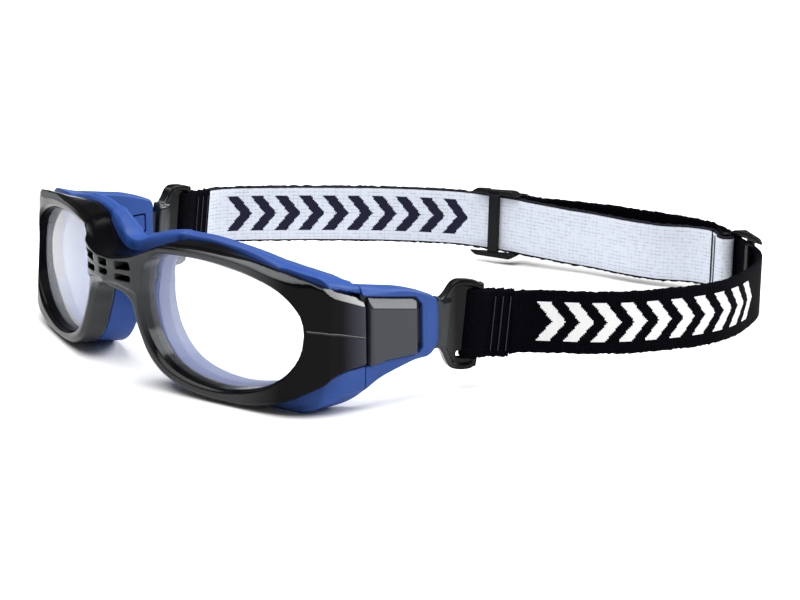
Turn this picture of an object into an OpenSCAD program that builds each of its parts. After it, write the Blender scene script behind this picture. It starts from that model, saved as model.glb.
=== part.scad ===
// Sports protective goggles: rigid front with two clear lenses, a soft face
// cushion, flexing temples with press-to-release strap clips, and an elastic
// head strap in two overlapping runs, each ending on a slider.
// Millimetres. +Z is up and the wearer looks along -Y. +X is the wearer's left.
// The origin is the middle of the bridge on the lenses' horizontal centre line.

/* [Lenses] */
// Distance of a lens centre from the middle plane
lens_centre_x = 36.4; // [35.5:0.1:37.5]
// Distance of a lens centre behind the origin
lens_centre_y = 11; // [10:0.1:12]
// Turn of each lens round the face, in degrees
lens_wrap = 15.5; // [13:0.5:17]
// Backward lean of each lens, in degrees
lens_lean = 5; // [3:0.5:7]
// Lens thickness
lens_t = 2; // [1.6:0.1:2.2]
// Depth of the groove that holds the lens edge
groove_depth = 1.2; // [0.8:0.1:1.4]

/* [Front] */
// Rim width round the lens opening
rim_w = 3.2; // [2.8:0.1:3.6]
// How far the rim stands in front of the lens's middle
rim_front = 3.3; // [2.6:0.1:4]
// How far the rim reaches behind the lens's middle
rim_back = 3; // [2.4:0.1:3.4]
// Level of the flat lands under the rims that the front rests on
rest_z = -20.2; // [-20.3:0.1:-19.8]
// Outer half-width across the end-pieces and the temple plates
side_x = 67.3; // [66.8:0.1:68]

/* [Temples] */
// Distance of the temple pivots from the middle plane
pivot_x = 63.6; // [63.4:0.1:63.8]
// Distance of the temple pivots behind the origin
pivot_y = 33.8; // [33.6:0.1:34]
// Radius of the pivot pins
pin_r = 0.6; // [0.5:0.05:0.7]
// Radial clearance of the pins in the temple knuckles
pin_play = 0.05; // [0.03:0.01:0.08]
// Downward slope of the clip sockets, in degrees
socket_slope = 6; // [5:0.5:7]

/* [Strap] */
// Webbing width
strap_w = 16.8; // [16:0.1:17]
// Webbing thickness
strap_t = 1.3; // [1:0.1:1.4]
// Downward slope of the strap loop towards the back, in degrees
strap_slope = 2.9; // [2.5:0.1:3.1]
// Strap centre line level where it leaves the clips
strap_start_z = -4.6; // [-4.8:0.1:-4.4]

/* [Hidden] */
$fn = 40;
play = 0.3;
far = 200;

// Edge of the lens opening as seen from the front: x outwards, y up
OPENING = [
    [-26.4, 6.5], [-25.6, 11.6], [-21, 14.9], [-12, 15.6], [-2, 15.3], [9, 13.8],
    [18.5, 11.1], [24.6, 6.9], [26.2, 1.5], [25, -5], [20.8, -10.2], [13, -14.3],
    [2, -16.5], [-8, -16], [-16.5, -13.2], [-22.3, -7.7], [-25.4, -0.8]
];

// ---- curves ----
function wrap_index(i, n) = (i % n + n) % n;
function spline_point(a, b, c, d, t) =
    0.5 * (2 * b + (c - a) * t + (2 * a - 5 * b + 4 * c - d) * t * t
        + (3 * b - a - 3 * c + d) * t * t * t);
// Smooth closed curve through the points, with the given steps between each two
function closed_curve(points, steps) = [
    for (i = [0 : len(points) - 1], k = [0 : steps - 1])
        let (n = len(points))
        spline_point(points[wrap_index(i - 1, n)], points[i], points[wrap_index(i + 1, n)],
            points[wrap_index(i + 2, n)], k / steps)
];
// Smooth open curve through the points
function open_curve(points, steps) = let (n = len(points)) concat([
    for (i = [0 : n - 2], k = [0 : steps - 1])
        spline_point(points[max(i - 1, 0)], points[i], points[i + 1],
            points[min(i + 2, n - 1)], k / steps)
], [points[n - 1]]);
function unit(v) = v / norm(v);
function left_normal(v) = [-v[1], v[0]];
// Closed outline moved outwards by d (points run clockwise)
function grown(curve, d) = let (n = len(curve)) [
    for (i = [0 : n - 1])
        curve[i] + d * left_normal(unit(curve[wrap_index(i + 1, n)] - curve[wrap_index(i - 1, n)]))
];
// Open line moved to its left by d
function beside(line, d) = let (n = len(line)) [
    for (i = [0 : n - 1])
        line[i] + d * left_normal(unit(line[min(i + 1, n - 1)] - line[max(i - 1, 0)]))
];
function reversed(list) = [for (i = [len(list) - 1 : -1 : 0]) list[i]];
// Band of thickness t along an open line
module band(line, t) {
    polygon(concat(beside(line, t / 2), reversed(beside(line, -t / 2))));
}
opening = closed_curve(OPENING, 4);

// ---- placing ----
// side is 1 for the wearer's left and -1 for the right
module on_side(side) {
    if (side > 0) children();
    else mirror([1, 0, 0]) children();
}
// Local x runs outwards across the lens, y up and z forwards out of it
module at_lens() {
    translate([lens_centre_x, lens_centre_y, 0])
        rotate([0, 0, lens_wrap])
            rotate([90 - lens_lean, 0, 0])
                children();
}
// A slab of an outline between two depths at the lens
module lens_slab(outline, back, front) {
    at_lens() translate([0, 0, back]) linear_extrude(front - back) polygon(outline);
}
// Side profile drawn as [distance back, height], kept between two x planes
module side_slab(x_low, x_high) {
    translate([x_high, 0, 0]) rotate([90, 0, -90]) mirror([1, 0, 0])
        linear_extrude(x_high - x_low) children();
}
// Clip socket: local y runs back out of the temple, z up
socket_mouth = [64, 57, -1.9];
module at_socket() {
    translate(socket_mouth) rotate([-socket_slope, 0, 0]) children();
}
// Clip head beyond the bend in its neck
head_turn = 15;
head_dip = 1.5;
neck_l = 1.2;
module at_clip_head() {
    at_socket() translate([0, neck_l, -0.6]) rotate([-head_dip, 0, -head_turn]) children();
}
// Plane of the strap loop
strap_start_y = 71;
module at_strap() {
    translate([0, strap_start_y, strap_start_z]) rotate([-strap_slope, 0, 0])
        translate([0, -strap_start_y, 0]) children();
}

// ---- front ----
bridge_top = 13;
bridge_bottom = 6.2;
bridge_front = -2;
bridge_half = 12.5;
module bridge_plan() {
    polygon(concat(
        [for (x = [-bridge_half : 2.5 : bridge_half]) [x, bridge_front + 0.018 * x * x]],
        [[bridge_half, 6], [5, 3.2], [-5, 3.2], [-bridge_half, 6]]
    ));
}
module bridge_face() {
    polygon([
        [-bridge_half, bridge_bottom - 3], [-8, bridge_bottom - 0.8], [-4, bridge_bottom],
        [4, bridge_bottom], [8, bridge_bottom - 0.8], [bridge_half, bridge_bottom - 3],
        [bridge_half, bridge_top + 2.2], [6, bridge_top + 0.6], [0, bridge_top],
        [-6, bridge_top + 0.6], [-bridge_half, bridge_top + 2.2]
    ]);
}
// Two rows of three vent slots through the bridge
vent_columns = [[-11, -4.6], [-1.9, 1.9], [4.6, 11]];
vent_rows = [[8, 9.5], [10.4, 12.4]];
module bridge_vents() {
    for (c = vent_columns, r = vent_rows)
        translate([c[0], -10, r[0]]) cube([c[1] - c[0], 30, r[1] - r[0]]);
}
module bridge() {
    difference() {
        intersection() {
            translate([0, 0, -10]) linear_extrude(40) bridge_plan();
            translate([0, 20, 0]) rotate([90, 0, 0]) linear_extrude(40) bridge_face();
        }
        bridge_vents();
    }
}
end_rear_y = pivot_y - 0.7;
// Outer corner of the front seen from above: the face sweeps back into the sides
corner_line = [[54, 12.1], [58, 13.8], [62, 16.2], [65, 18.4], [66.7, 21], [side_x, 24.4]];
module end_piece_plan() {
    polygon(concat(corner_line, [
        [side_x, end_rear_y],
        [side_x - 1.9, end_rear_y], [side_x - 2.1, 24], [62.5, 22], [54, 19.4]
    ]));
}
module inside_corner_line() {
    translate([0, 0, -30]) linear_extrude(60)
        polygon(concat([[-5, -20], [40, -20]], corner_line, [[side_x, 40], [-5, 40]]));
}
module end_piece_profile() {
    polygon([
        [10, -12], [20, -11.2], [end_rear_y, -8.9], [end_rear_y, 9],
        [22, 11.8], [10, 13]
    ]);
}
knuckle_r = 1.7;
knuckle_half = 2.8;
lug_half = 6.2;
module frame_lugs() {
    for (z = [knuckle_half + 0.2, -lug_half])
        translate([0, 0, z]) {
            translate([pivot_x, pivot_y, 0]) cylinder(r = knuckle_r, h = lug_half - knuckle_half - 0.2);
            translate([pivot_x - 0.6, pivot_y - 6, 0])
                cube([3.2, 5.2, lug_half - knuckle_half - 0.2]);
        }
}
module end_piece() {
    difference() {
        union() {
            difference() {
                intersection() {
                    translate([0, 0, -20]) linear_extrude(40) end_piece_plan();
                    side_slab(50, 75) end_piece_profile();
                }
                // Level with the back of the rim, where the cushion begins
                at_lens() translate([0, -40, -rim_back - 20]) cube([29.8, 80, 20]);
            }
            frame_lugs();
        }
        translate([pivot_x, pivot_y, -10]) cylinder(r = pin_r, h = 20);
    }
}
// Region above the lens where the frame reaches further back as a brow shelf
brow_back = -4.6;
brow_from = 7;
brow_outer = 24;
module brow_zone(drop) {
    at_lens() translate([-40, brow_from - drop, -30]) cube([brow_outer + drop + 40, 40, 60]);
}
module brow_shelf() {
    intersection() {
        difference() {
            lens_slab(grown(opening, rim_w), brow_back, -rim_back + 1);
            lens_slab(grown(opening, 0.8), brow_back - 1, 1);
        }
        brow_zone(0);
    }
}
module brow_middle() {
    translate([-bridge_half, 2.6, 10.8]) cube([2 * bridge_half, 4.4, 2.6]);
}
module half_front() {
    difference() {
        union() {
            intersection() {
                lens_slab(grown(opening, rim_w), -rim_back, rim_front);
                inside_corner_line();
            }
            brow_shelf();
            end_piece();
        }
        lens_slab(opening, -8, 8);
        lens_slab(grown(opening, groove_depth + 0.05), -lens_t / 2 - 0.05, lens_t / 2 + 0.05);
    }
}
module front_frame() {
    color("#101012") difference() {
        union() {
            on_side(1) half_front();
            on_side(-1) half_front();
            difference() {
                union() {
                    bridge();
                    brow_middle();
                }
                for (s = [1, -1]) on_side(s) {
                    lens_slab(opening, -20, 8);
                    lens_slab(grown(opening, groove_depth + 0.05), -lens_t / 2 - 0.05, lens_t / 2 + 0.05);
                }
            }
        }
        // Flat lands that the front rests on
        translate([-far / 2, -far / 2, rest_z - 10]) cube([far, far, 10]);
    }
}
module lens(side) {
    color("#dfe6ee", 0.35) on_side(side)
        lens_slab(grown(opening, groove_depth), -lens_t / 2, lens_t / 2);
}

// ---- soft face cushion ----
cushion_wall = 2.4;
cushion_back = -11.5;
cushion_top_back = -13.6;
module eye_cup() {
    difference() {
        union() {
            lens_slab(grown(opening, rim_w - 0.4), cushion_back, -rim_back - 0.15);
            intersection() {
                lens_slab(grown(opening, rim_w - 0.1), cushion_top_back, brow_back - 0.15);
                brow_zone(0);
            }
        }
        lens_slab(grown(opening, rim_w - 0.4 - cushion_wall), cushion_top_back - 1, rim_back);
        // Room for the frame's brow shelf
        intersection() {
            lens_slab(grown(opening, rim_w + 1), brow_back - 0.15, 1);
            brow_zone(0.15);
        }
    }
}
// Flare from the lower outer corner of the cup to the temple joint
module cushion_wing() {
    difference() {
        intersection() {
            translate([0, 40, 0]) rotate([90, 0, 0]) linear_extrude(40) polygon([
                [44, rest_z], [57.6, rest_z], [61.8, -18.8], [65, -15.6], [65, 20], [44, 20]
            ]);
            side_slab(46, side_x - 2.5) polygon([
                [14, rest_z], [27, rest_z], [32.6, -15.4], [32.6, 12], [26, 14], [18, 16]
            ]);
            translate([0, 0, -25]) linear_extrude(50) polygon([
                [46, 13], [56, 15], [64.8, 20], [64.8, 32.6], [59.6, 32.6], [56, 26.4],
                [52, 21.6], [46, 17.6]
            ]);
        }
        // Clear of the rim, the end-piece and its lugs
        lens_slab(grown(opening, rim_w + 0.15), -rim_back - 0.15, 20);
        intersection() {
            lens_slab(grown(opening, rim_w + 0.15), brow_back - 0.15, 1);
            brow_zone(0.15);
        }
        translate([0, 0, -12.6]) linear_extrude(28) polygon([
            [50, 5], [side_x + 2, 5], [side_x + 2, 34], [side_x - 2.3, 34],
            [side_x - 2.3, 23.8], [62.2, 22.4], [50, 18.6]
        ]);
        translate([0, 0, -30]) linear_extrude(60)
            polygon(concat([[46, 0]], [for (p = corner_line) p + [0.3, 0.6]], [[80, 24], [80, 0]]));
        translate([pivot_x - 2.2, 26, -lug_half - 0.4]) cube([6, 10, 2 * lug_half + 0.8]);
    }
}
module brow_link() {
    difference() {
        translate([-13, 7.3, 9]) cube([26, 5.7, 6]);
        for (s = [1, -1]) on_side(s) intersection() {
            lens_slab(grown(opening, rim_w + 0.15), brow_back - 0.15, 1);
            brow_zone(0.15);
        }
    }
}
module face_cushion() {
    color("#3f5fb0") difference() {
        union() {
            for (s = [1, -1]) on_side(s) {
                eye_cup();
                cushion_wing();
            }
            brow_link();
        }
        for (s = [1, -1]) on_side(s) lens_slab(grown(opening, 0.4), -30, 2);
        translate([-far / 2, -far / 2, rest_z - 9.9]) cube([far, far, 10]);
    }
}

// ---- temples ----
plate_in = side_x - 1.7;
sleeve_in = 60.9;
sleeve_out = side_x - 0.7;
temple_front_y = pivot_y + 0.6;
module plate_profile() {
    polygon([
        [pivot_y + 0.4, -8.9], [40, -8.2], [49, -8.2], [50.2, -7], [50, 4.6], [49, 5.8],
        [pivot_y + 0.6, 8.7]
    ]);
}
module sleeve_profile() {
    polygon(concat(
        [[temple_front_y, -13.6], [38, -12.4], [43, -11], [49, -10.2], [52.6, -10]],
        [for (a = [-80 : 20 : 0]) [53.4 + 3.6 * cos(a), -6.4 + 3.6 * sin(a)]],
        [for (a = [0 : 20 : 80]) [53.4 + 3.6 * cos(a), 2.2 + 3.6 * sin(a)]],
        [[50, 7.8], [44, 9.8], [38, 11.2], [temple_front_y, 12.2]]
    ));
}
core_in = 62.2;
core_out = 65.4;
module core_profile() {
    polygon([
        [36.4, -6.6], [55.6, -6.2], [55.6, 2.2], [36.4, 4.6]
    ]);
}
tongue_w = 7;
tongue_t = 1.5;
tongue_l = 13;
module tongue_cavity() {
    at_socket() translate([-tongue_t / 2 - play, -tongue_l - 1, -tongue_w / 2 - play])
        cube([tongue_t + 2 * play, tongue_l + 10, tongue_w + 2 * play]);
}
// The release tab sits in a window through the sleeve's inner face and the core
tab_y0 = 45.2;
tab_y1 = 51.8;
tab_z0 = -2.4;
tab_z1 = 2.4;
tab_gap = 0.5;
module tab_window(grow) {
    translate([sleeve_in - 1, tab_y0 - grow, tab_z0 - grow])
        cube([3.2, tab_y1 - tab_y0 + 2 * grow, tab_z1 - tab_z0 + 2 * grow]);
}
module temple_core(side) {
    color("#1b1c1f") on_side(side) difference() {
        union() {
            side_slab(core_in, core_out) core_profile();
            translate([pivot_x, pivot_y, -knuckle_half]) cylinder(r = knuckle_r, h = 2 * knuckle_half);
            translate([pivot_x - 1.1, pivot_y, -knuckle_half]) cube([2.2, 4, 2 * knuckle_half]);
        }
        translate([pivot_x, pivot_y, -10]) cylinder(r = pin_r + pin_play, h = 20);
        tongue_cavity();
        tab_window(tab_gap);
    }
}
module hinge_pin(side) {
    color("#a7abb0") on_side(side)
        translate([pivot_x, pivot_y, -lug_half]) cylinder(r = pin_r, h = 2 * lug_half);
}
module temple_plate(side) {
    color("#0d0d0f") on_side(side) side_slab(plate_in, side_x) plate_profile();
}
module temple_sleeve(side) {
    color("#4a6cc0") on_side(side) difference() {
        side_slab(sleeve_in, sleeve_out) sleeve_profile();
        side_slab(core_in - 0.05, core_out + 0.05) translate([0, 0]) offset_core();
        side_slab(plate_in - 0.1, side_x + 1) offset_plate();
        tab_window(tab_gap);
        tongue_cavity();
        // Room for the hinge lugs as the temple swings in
        translate([pivot_x, pivot_y, -lug_half - 0.4]) cylinder(r = 3, h = 2 * lug_half + 0.8);
    }
}
// Pocket outlines, a little larger than what they hold
module offset_core() {
    polygon([[36, -6.65], [55.65, -6.25], [55.65, 2.25], [36, 4.7]]);
    polygon([[30, -3.2], [37, -3.2], [37, 3.2], [30, 3.2]]);
}
module offset_plate() {
    polygon([
        [30, -9.2], [40, -8.4], [49.2, -8.4], [50.4, -7.1], [50.2, 4.8], [49.1, 6],
        [30, 9.5]
    ]);
}
module release_tab(side) {
    color("#4a6cc0") on_side(side)
        translate([sleeve_in, tab_y0, tab_z0])
            cube([1.2, tab_y1 - tab_y0, tab_z1 - tab_z0]);
}

// ---- strap clips ----
head_h = 24;
head_t = 3;
head_l = 9;
head_y = 2.5;
slot_h = strap_w + 1;
slot_y = head_y + 2.6;
slot_w = 3.2;
bar_w = head_y + head_l - slot_y - slot_w;
bar_t = 1.6;
module clip_outline() {
    corner = 3;
    flare = [[0, 5.8], [1, 6.2], [2, 8], [head_y + 0.6, 10.6], [head_y + 2, head_h / 2]];
    far_end = [
        for (a = [80 : -20 : 0])
            [head_y + head_l - corner + corner * cos(a), head_h / 2 - corner + corner * sin(a)]
    ];
    top = concat(flare, far_end);
    polygon(concat(top, reversed([for (p = top) [p[0], -p[1]]])));
}
module strap_clip(side) {
    color("#0d0d0f") on_side(side) {
        // Tongue and neck
        at_socket() translate([-tongue_t / 2, -tongue_l, -tongue_w / 2])
            cube([tongue_t, tongue_l + neck_l + 0.6, tongue_w]);
        // Head with the webbing slot
        at_clip_head() difference() {
            translate([-head_t / 2, 0, 0]) side_slab(0, head_t) clip_outline();
            translate([-head_t, slot_y, -slot_h / 2]) cube([2 * head_t, slot_w, slot_h]);
            for (x = [-head_t, bar_t / 2])
                translate([x, slot_y, -slot_h / 2]) cube([head_t - bar_t / 2, head_l, slot_h]);
        }
    }
}
// Webbing end folded round a bar and sewn to itself, lying along +Y
fold_gap = 0.15;
fold_taper = 2.6;
// Half circle round the far side of the bar
function bar_arc(r, y) = [for (a = [180 : 15 : 360]) [r * cos(a), y + r * sin(a)]];
module fold(bar_t, bar_w, tail_l) {
    in_r = bar_t / 2 + fold_gap;
    arc_y = in_r - fold_gap - bar_w / 2;
    out_r = in_r + strap_t;
    taper_y = bar_w / 2 + fold_taper;
    end_y = bar_w / 2 + tail_l;
    linear_extrude(strap_w, center = true) difference() {
        polygon(concat(bar_arc(out_r, arc_y), [
            [out_r, bar_w / 2], [strap_t, taper_y], [strap_t, end_y],
            [-strap_t, end_y], [-strap_t, taper_y], [-out_r, bar_w / 2]
        ]));
        polygon([
            [-in_r, -bar_w / 2 - fold_gap], [in_r, -bar_w / 2 - fold_gap],
            [in_r, bar_w / 2 + fold_gap], [0, taper_y - 0.4], [-in_r, bar_w / 2 + fold_gap]
        ]);
    }
}
clip_tail = 9;
bar_mid = slot_y + slot_w + bar_w / 2;
module clip_fold(side) {
    color("#14151c") on_side(side) at_clip_head() translate([0, bar_mid, 0])
        fold(bar_t, bar_w, clip_tail);
}
// Rows of thread across a fold, on both faces
thread_r = 0.15;
module stitching(x_face, rows, y_first, y_step) {
    for (i = [0 : rows - 1], x = [-x_face, x_face])
        translate([x, y_first + i * y_step, -strap_w / 2 + 1.2])
            cylinder(r = thread_r, h = strap_w - 2.4, $fn = 16);
}
module clip_stitching(side) {
    color("#202128") on_side(side) at_clip_head() translate([0, bar_mid, 0])
        stitching(strap_t + thread_r, 3, bar_w / 2 + fold_taper + 1, 2.2);
}

// ---- strap ----
// Middle of each slider on its running strap, and its turn about the vertical
slider_left_at = [61, 170.5];
slider_left_turn = 156.5;
slider_right_at = [-20.5, 148.5];
slider_right_turn = 23;
slider_bar_out = 3.2;
fold_out = 4.85;
slider_half = 8.2;
// Strap centre lines seen from above, from clip to slider
OUTER_ROUTE = [
    [70.7, 79.3], [72.4, 83.2], [76.6, 88.4], [82, 95.2], [86.4, 103.4], [89.2, 112.4],
    [91, 122], [91, 132], [88.6, 141], [84.4, 149.5], [78.6, 158.6], [70.8, 166],
    [61, 170.5], [51, 174.6], [41.5, 176.2], [31, 174], [17.5, 168.6], [2, 162.4],
    [-7.2, 158]
];
INNER_ROUTE = [
    [-70.7, 79.3], [-71, 83.4], [-69.2, 89.5], [-64, 99.6], [-56.6, 112.4], [-45.4, 129],
    [-32, 143], [-20.5, 148.5], [-10, 152.4], [-2, 156.2], [9, 160.6], [20, 163.2],
    [30, 167.2], [38, 171.8], [45.2, 172.8]
];
module strap_run(route) {
    at_strap() linear_extrude(strap_w, center = true) band(open_curve(route, 4), strap_t);
}
module outer_strap() {
    color("#12131a") strap_run(OUTER_ROUTE);
}
module inner_strap() {
    color("#e4e6ea") strap_run(INNER_ROUTE);
}
// Slider: local x runs towards the doubled stretch, y to the side of the middle bar
module at_slider(side) {
    at_strap() translate(side > 0 ? slider_left_at : slider_right_at)
        rotate([0, 0, side > 0 ? slider_left_turn : slider_right_turn])
            mirror([0, 1, 0]) children();
}
rail_h = 1.5;
rail_low = strap_w / 2 + 0.3;
end_bar_w = 2.4;
module slider(side) {
    color("#17181b") at_slider(side) {
        for (s = [1, -1]) mirror([0, 0, s > 0 ? 0 : 1])
            translate([0, 2.4, rail_low]) rotate([90, 0, 0]) linear_extrude(6.4)
                polygon([
                    [-slider_half, 0], [slider_half, 0], [slider_half, 0.5],
                    [slider_half - 2, rail_h], [-slider_half + 2, rail_h], [-slider_half, 0.5]
                ]);
        // Middle bar on the near face, end bars on the far face
        translate([-1.9, 1, -rail_low - 0.5]) cube([3.8, 1.4, 2 * rail_low + 1]);
        translate([-slider_half, -2.4, -rail_low - 0.5]) cube([end_bar_w, 1.4, 2 * rail_low + 1]);
        translate([slider_half - end_bar_w, -slider_bar_out - bar_t / 2, -rail_low - 0.5])
            cube([end_bar_w, bar_t, 2 * rail_low + 1]);
    }
}
slider_tail = 7;
module at_slider_bar(side) {
    at_slider(side) translate([slider_half - end_bar_w / 2, -slider_bar_out, 0])
        rotate([0, 0, -90]) children();
}
module slider_fold(side) {
    color("#14151c") at_slider_bar(side) fold(bar_t, end_bar_w, slider_tail);
}
module slider_stitching(side) {
    color("#202128") at_slider_bar(side) stitching(strap_t + thread_r, 2, end_bar_w / 2 + fold_taper + 0.8, 1.8);
}

front_frame();
lens(1);  // lens_left
lens(-1);  // lens_right
face_cushion();
hinge_pin(1);  // hinge_pin_left
hinge_pin(-1);  // hinge_pin_right
temple_core(1);  // temple_core_left
temple_core(-1);  // temple_core_right
temple_plate(1);  // temple_plate_left
temple_plate(-1);  // temple_plate_right
temple_sleeve(1);  // temple_sleeve_left
temple_sleeve(-1);  // temple_sleeve_right
release_tab(1);  // release_tab_left
release_tab(-1);  // release_tab_right
strap_clip(1);  // strap_clip_left
strap_clip(-1);  // strap_clip_right
clip_fold(1);  // clip_fold_left
clip_fold(-1);  // clip_fold_right
clip_stitching(1);  // clip_stitching_left
clip_stitching(-1);  // clip_stitching_right
outer_strap();
inner_strap();
slider(1);  // slider_left
slider(-1);  // slider_right
slider_fold(1);  // slider_fold_left
slider_fold(-1);  // slider_fold_right
slider_stitching(1);  // slider_stitching_left
slider_stitching(-1);  // slider_stitching_right
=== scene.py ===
"""Sports protective goggles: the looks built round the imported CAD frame.

Moulded parts are made as smooth fields sampled on a grid, in millimetres in the part's own frame, then
turned into metres. Webbing is built as flat ribbons along the same routes as the CAD straps.
"""

import math

import bpy
import numpy as np
from mathutils import Matrix, Vector


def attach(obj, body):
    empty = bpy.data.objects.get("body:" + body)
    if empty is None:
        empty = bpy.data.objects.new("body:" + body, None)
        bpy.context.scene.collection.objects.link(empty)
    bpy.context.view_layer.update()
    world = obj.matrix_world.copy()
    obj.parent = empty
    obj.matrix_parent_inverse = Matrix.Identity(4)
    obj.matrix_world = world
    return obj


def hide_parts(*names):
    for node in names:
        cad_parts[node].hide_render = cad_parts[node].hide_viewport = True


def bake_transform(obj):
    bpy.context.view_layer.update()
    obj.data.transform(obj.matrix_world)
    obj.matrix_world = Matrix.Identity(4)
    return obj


# ---------------------------------------------------------------- camera and frame
MM = 0.001
# The camera solved from matched points in the photo: metres, degrees and pixels
CAMERA_AT = (0.6619, -0.4210, 0.2262)
AZIMUTH, ELEVATION, ROLL = 52.01, 16.21, -0.667
FOCAL_PX, PHOTO_WIDTH_PX, SENSOR_MM = 3111.55, 800, 36


def unit(v):
    v = np.asarray(v, float)
    return v / np.linalg.norm(v)


def add_camera():
    az, el, roll = math.radians(AZIMUTH), math.radians(ELEVATION), math.radians(ROLL)
    back = np.array([math.sin(az) * math.cos(el), -math.cos(az) * math.cos(el), math.sin(el)])
    flat = np.array([math.cos(az), math.sin(az), 0.0])
    up = np.cross(back, flat)
    right = math.cos(roll) * flat + math.sin(roll) * up
    up = -math.sin(roll) * flat + math.cos(roll) * up
    data = bpy.data.cameras.new("camera")
    data.sensor_width = SENSOR_MM
    data.lens = FOCAL_PX / PHOTO_WIDTH_PX * SENSOR_MM
    data.clip_start, data.clip_end = 0.01, 20
    cam = bpy.data.objects.new("camera", data)
    bpy.context.scene.collection.objects.link(cam)
    cam.matrix_world = Matrix(
        [[right[i], up[i], back[i], CAMERA_AT[i]] for i in range(3)] + [[0, 0, 0, 1]]
    )
    bpy.context.scene.camera = cam


add_camera()
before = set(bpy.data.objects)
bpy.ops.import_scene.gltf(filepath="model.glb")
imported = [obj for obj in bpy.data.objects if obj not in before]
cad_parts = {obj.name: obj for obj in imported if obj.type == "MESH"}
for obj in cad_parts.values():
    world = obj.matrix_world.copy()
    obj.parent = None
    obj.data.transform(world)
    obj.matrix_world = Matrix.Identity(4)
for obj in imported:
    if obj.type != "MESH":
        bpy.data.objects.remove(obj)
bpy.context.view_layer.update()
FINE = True


# ---------------------------------------------------------------- fields
def smin(a, b, k):
    """Union of two fields, rounded over a width."""
    h = np.clip(0.5 + 0.5 * (b - a) / k, 0, 1)
    return b * (1 - h) + a * h - k * h * (1 - h)


def smax(a, b, k):
    return -smin(-a, -b, k)


def every(k, *fields):
    """What lies inside all the fields, with edges rounded over a width."""
    out = fields[0]
    for f in fields[1:]:
        out = smax(out, f, k)
    return out


def plane(p, at, normal):
    return (p - np.array(at, p.dtype)) @ unit(normal).astype(p.dtype)


def box(p, low, high, r):
    """Rounded box between two corners."""
    low, high = np.array(low, p.dtype), np.array(high, p.dtype)
    q = np.abs(p - (low + high) / 2) - (high - low) / 2 + r
    return np.linalg.norm(np.maximum(q, 0), axis=1) + np.minimum(q.max(1), 0) - r


def turn(p, at, *turns):
    """Points in the axes of a frame placed at a point and turned by the given turns, in degrees."""
    m = np.eye(3)
    for axis, deg in turns:
        a = math.radians(deg)
        c, s = math.cos(a), math.sin(a)
        i, j = {"x": (1, 2), "y": (2, 0), "z": (0, 1)}[axis]
        r = np.eye(3)
        r[i, i] = r[j, j] = c
        r[i, j], r[j, i] = -s, s
        m = r @ m
    return (p - np.array(at, p.dtype)) @ m.astype(p.dtype)


def catmull(points, steps, closed):
    """A smooth line through points, with this many steps from each to the next."""
    p = np.array(points, float)
    n = len(p)
    out = []
    for i in range(n if closed else n - 1):
        a, b, c, d = (p[(i + k) % n] if closed else p[min(max(i + k, 0), n - 1)] for k in (-1, 0, 1, 2))
        square, cube = 2 * a - 5 * b + 4 * c - d, 3 * b - a - 3 * c + d
        for t in np.arange(steps) / steps:
            out.append(0.5 * (2 * b + (c - a) * t + square * t * t + cube * t**3))
    if not closed:
        out.append(p[-1])
    return np.array(out)


class Outline:
    """Signed distance to a closed flat outline, kept on a fine grid. Negative inside."""

    def __init__(self, points, low, high, pitch=0.25):
        self.low, self.pitch = np.array(low, float), pitch
        nx, ny = (int((high[i] - low[i]) / pitch) + 1 for i in (0, 1))
        gx, gy = low[0] + pitch * np.arange(nx), low[1] + pitch * np.arange(ny)
        q = np.stack(np.meshgrid(gx, gy, indexing="ij"), -1).reshape(-1, 2)
        best = np.full(len(q), 1e9)
        odd = np.zeros(len(q), bool)
        for s, e in zip(points, np.roll(points, -1, 0)):
            d = e - s
            length = d @ d
            if length < 1e-12:
                continue
            t = np.clip((q - s) @ d / length, 0, 1)
            best = np.minimum(best, ((q - s - t[:, None] * d) ** 2).sum(1))
            if s[1] != e[1]:
                crosses = (s[1] > q[:, 1]) != (e[1] > q[:, 1])
                odd ^= crosses & (q[:, 0] < s[0] + (q[:, 1] - s[1]) / (e[1] - s[1]) * d[0])
        self.grid = (np.sqrt(best) * np.where(odd, -1, 1)).reshape(nx, ny).astype(np.float32)

    def __call__(self, x, y):
        nx, ny = self.grid.shape
        fx = (x - self.low[0]) / self.pitch
        fy = (y - self.low[1]) / self.pitch
        cx, cy = np.clip(fx, 0, nx - 1.001), np.clip(fy, 0, ny - 1.001)
        i, j = cx.astype(int), cy.astype(int)
        u, v = cx - i, cy - j
        g = self.grid
        low = g[i, j] * (1 - u) + g[i + 1, j] * u
        high = g[i, j + 1] * (1 - u) + g[i + 1, j + 1] * u
        return low * (1 - v) + high * v + self.pitch * np.hypot(fx - cx, fy - cy)


CORNERS = [(a, b, c) for a in (0, 1) for b in (0, 1) for c in (0, 1)]
COARSE = 4  # fine steps to a coarse one
REACH = 1.9  # coarse steps from the surface within which a cell is sampled finely
BLOCK = 400_000  # points sampled at once
SLOPE_SPAN, NORMAL_SPAN = 0.05, 0.08  # mm either side when a slope is measured


def part_of(grid, shape, start):
    """The part of a grid that has a given shape, from a given first cell."""
    return grid[tuple(slice(c, c + s) for c, s in zip(start, shape))]


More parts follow.
